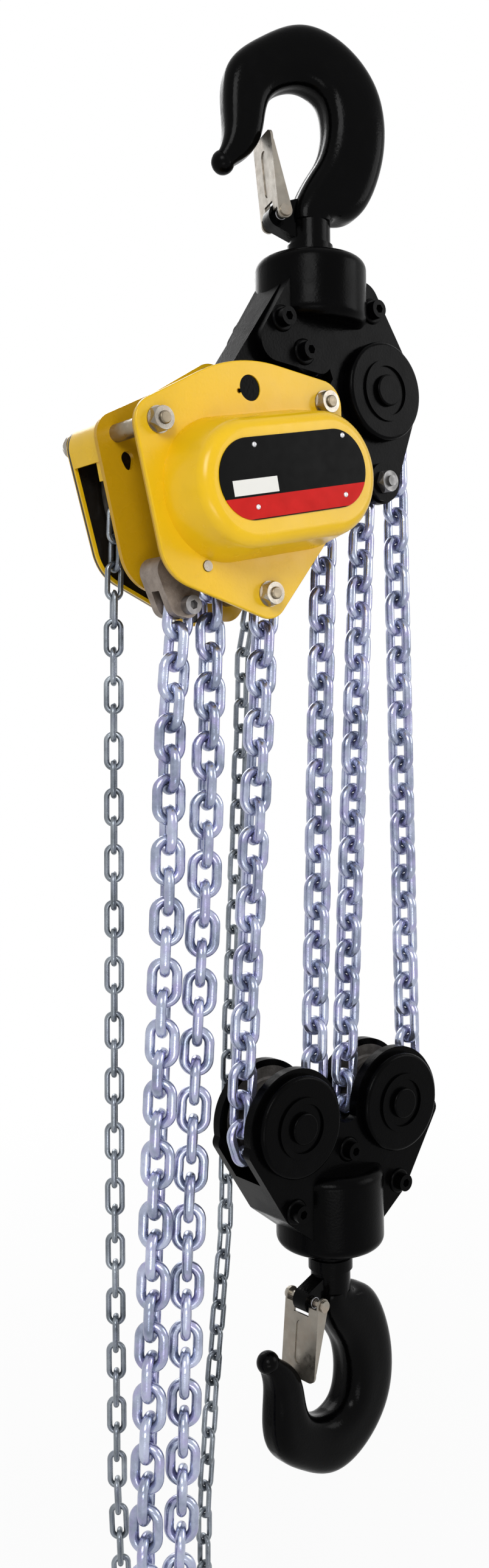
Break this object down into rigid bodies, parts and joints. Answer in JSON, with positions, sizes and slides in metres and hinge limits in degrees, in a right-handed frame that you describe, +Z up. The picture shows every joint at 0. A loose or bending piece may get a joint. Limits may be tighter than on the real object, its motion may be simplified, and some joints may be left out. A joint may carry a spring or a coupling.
{
  "type": "manual chain hoist",
  "caption": "Manual chain hoist: swivelling top hook and block, geared body with hand chain wheel, load chain reeved to a sheaved lower block with a swivelling hook and spring latches.",
  "frame": {"origin": "load seat of the top hook, on its shank axis", "axes": "+Z up along the hook shank; the gear cover faces -Y; the body hangs towards -X"},
  "size_m": [0.3908, 0.214, 1.7158],
  "materials": {
    "black_enamel": "gloss black enamel on cast steel",
    "hook_enamel": "gloss black enamel on forged steel",
    "yellow_enamel": "gloss yellow enamel on pressed steel",
    "zinc_chain": "bright zinc plated alloy steel",
    "zinc_fastener": "zinc plated steel",
    "latch_sheet": "plated pressed sheet",
    "plain_steel": "machined steel",
    "cast_grey": "as cast, lightly oiled",
    "plate_print": "enamelled name plate, left bare",
    "aluminium_rivet": "bright rivet heads",
    "friction_lining": "moulded brake lining",
    "spring_steel": "spring wire"
  },
  "bodies": {
    "hoist": {"chain_anchor_bolt": "zinc_fastener", "chain_guides": "cast_grey", "chain_stripper": "cast_grey", "gear_cover": "yellow_enamel", "gear_side_plate": "yellow_enamel", "hand_chain_loop": "zinc_chain", "hand_chain_on_wheel": "zinc_chain", "hand_wheel_cover": "yellow_enamel", "idler_axle": "black_enamel", "load_chain_slack": "zinc_chain", "load_chain_upper_wraps": "zinc_chain", "load_fall_1": "zinc_chain", "load_fall_2": "zinc_chain", "load_fall_3": "zinc_chain", "load_fall_4": "zinc_chain", "name_plate": "plate_print", "name_plate_rivets": "aluminium_rivet", "pawl_springs": "spring_steel", "plate_studs": "plain_steel", "sheave_bearings": "plain_steel", "stay_bolts": "zinc_fastener", "stay_nuts": "zinc_fastener", "suspension_pin": "black_enamel", "tail_anchor": "cast_grey", "tail_anchor_pin": "zinc_fastener", "tail_anchor_rivet": "zinc_fastener", "upper_block_bolts": "black_enamel", "upper_block_front": "black_enamel", "upper_block_rear": "black_enamel", "wheel_side_plate": "yellow_enamel"},
    "top_hook": {"top_hook": "hook_enamel", "top_hook_nut": "plain_steel", "top_hook_latch_pin": "zinc_fastener", "top_hook_latch_spring": "spring_steel"},
    "top_latch": {"top_hook_latch": "latch_sheet"},
    "hand_drive": {"hand_wheel": "cast_grey", "wheel_nut": "zinc_fastener", "drive_shaft": "plain_steel", "brake_hub": "plain_steel", "friction_discs": "friction_lining", "ratchet_disc": "plain_steel"},
    "load_drive": {"load_sheave": "cast_grey", "load_gear": "plain_steel"},
    "disc_gear_left": {"disc_gear_left": "plain_steel"},
    "disc_gear_right": {"disc_gear_right": "plain_steel"},
    "pawl_left": {"pawl_left": "plain_steel"},
    "pawl_right": {"pawl_right": "plain_steel"},
    "idler": {"idler_sheave": "cast_grey"},
    "lower_block": {"lower_block_front": "black_enamel", "lower_block_rear": "black_enamel", "lower_block_bolts": "black_enamel", "lower_axles": "black_enamel", "load_chain_lower_wraps": "zinc_chain"},
    "lower_sheave_left": {"lower_sheave_left": "cast_grey"},
    "lower_sheave_right": {"lower_sheave_right": "cast_grey"},
    "bottom_hook": {"bottom_hook": "hook_enamel", "bottom_hook_nut": "plain_steel", "bottom_hook_latch_pin": "zinc_fastener", "bottom_hook_latch_spring": "spring_steel"},
    "bottom_latch": {"bottom_hook_latch": "latch_sheet"}
  },
  "joints": [
    {"name": "top_hook_swivel", "type": "hinge", "parent": "hoist", "child": "top_hook", "pos_m": [0, 0, -0.2], "axis": [0, 0, 1], "continuous": true},
    {"name": "top_latch_hinge", "type": "hinge", "parent": "top_hook", "child": "top_latch", "pos_m": [-0.03424, 0.01112, -0.126], "axis": [0.309, 0.9511, 0], "range_deg": [0, 35], "stiffness_Nm_per_rad": 0.1, "springref_deg": -34.38},
    {"name": "hand_wheel_spin", "type": "hinge", "parent": "hoist", "child": "hand_drive", "pos_m": [-0.09618, 0.08, -0.39439], "axis": [0, -1, 0], "range_deg": [0, 23760], "deforming": ["hand_chain_on_wheel", "load_chain_upper_wraps"]},
    {"name": "load_sheave_spin", "type": "hinge", "parent": "hoist", "child": "load_drive", "pos_m": [-0.09618, 0, -0.39439], "axis": [0, -1, 0], "range_deg": [0, 2160]},
    {"name": "disc_gear_left_spin", "type": "hinge", "parent": "hoist", "child": "disc_gear_left", "pos_m": [-0.14425, -0.06, -0.40391], "axis": [0, -1, 0], "range_deg": [-6480, 0]},
    {"name": "disc_gear_right_spin", "type": "hinge", "parent": "hoist", "child": "disc_gear_right", "pos_m": [-0.04811, -0.06, -0.38487], "axis": [0, -1, 0], "range_deg": [-6480, 0]},
    {"name": "lift", "type": "slide", "parent": "hoist", "child": "lower_block", "axis": [0, 0, 1], "range_m": [0, 0.36], "deforming": ["load_fall_1", "load_fall_2", "load_fall_3", "load_fall_4"]},
    {"name": "idler_spin", "type": "hinge", "parent": "hoist", "child": "idler", "pos_m": [0.068, 0, -0.294], "axis": [0, -1, 0], "range_deg": [0, 864]},
    {"name": "lower_left_spin", "type": "hinge", "parent": "lower_block", "child": "lower_sheave_left", "pos_m": [-0.0575, 0, -1.04], "axis": [0, -1, 0], "range_deg": [-1296, 0]},
    {"name": "lower_right_spin", "type": "hinge", "parent": "lower_block", "child": "lower_sheave_right", "pos_m": [0.0815, 0, -1.04], "axis": [0, -1, 0], "range_deg": [0, 432]},
    {"name": "bottom_hook_swivel", "type": "hinge", "parent": "lower_block", "child": "bottom_hook", "pos_m": [0.012, 0, -1.15], "axis": [0, 0, 1], "continuous": true},
    {"name": "bottom_latch_hinge", "type": "hinge", "parent": "bottom_hook", "child": "bottom_latch", "pos_m": [-0.02389, -0.00282, -1.236], "axis": [0.0785, -0.9969, 0], "range_deg": [0, 35], "stiffness_Nm_per_rad": 0.1, "springref_deg": -34.38},
    {"name": "pawl_left_swing", "type": "hinge", "parent": "hoist", "child": "pawl_left", "pos_m": [-0.1359, 0.048, -0.35597], "axis": [0, -1, 0], "range_deg": [0, 15], "stiffness_Nm_per_rad": 0.02, "springref_deg": -28.65},
    {"name": "pawl_right_swing", "type": "hinge", "parent": "hoist", "child": "pawl_right", "pos_m": [-0.05455, 0.048, -0.42957], "axis": [0, -1, 0], "range_deg": [0, 15], "stiffness_Nm_per_rad": 0.02, "springref_deg": -28.65}
  ],
  "couplings": [
    {"joint": "load_sheave_spin", "follows": "hand_wheel_spin", "ratio": 0.090909},
    {"joint": "disc_gear_left_spin", "follows": "hand_wheel_spin", "ratio": -0.27273},
    {"joint": "disc_gear_right_spin", "follows": "hand_wheel_spin", "ratio": -0.27273},
    {"joint": "lift", "follows": "hand_wheel_spin", "m_per_rad": 0.00086812},
    {"joint": "idler_spin", "follows": "hand_wheel_spin", "ratio": 0.036364},
    {"joint": "lower_left_spin", "follows": "hand_wheel_spin", "ratio": -0.054545},
    {"joint": "lower_right_spin", "follows": "hand_wheel_spin", "ratio": 0.018182}
  ]
}
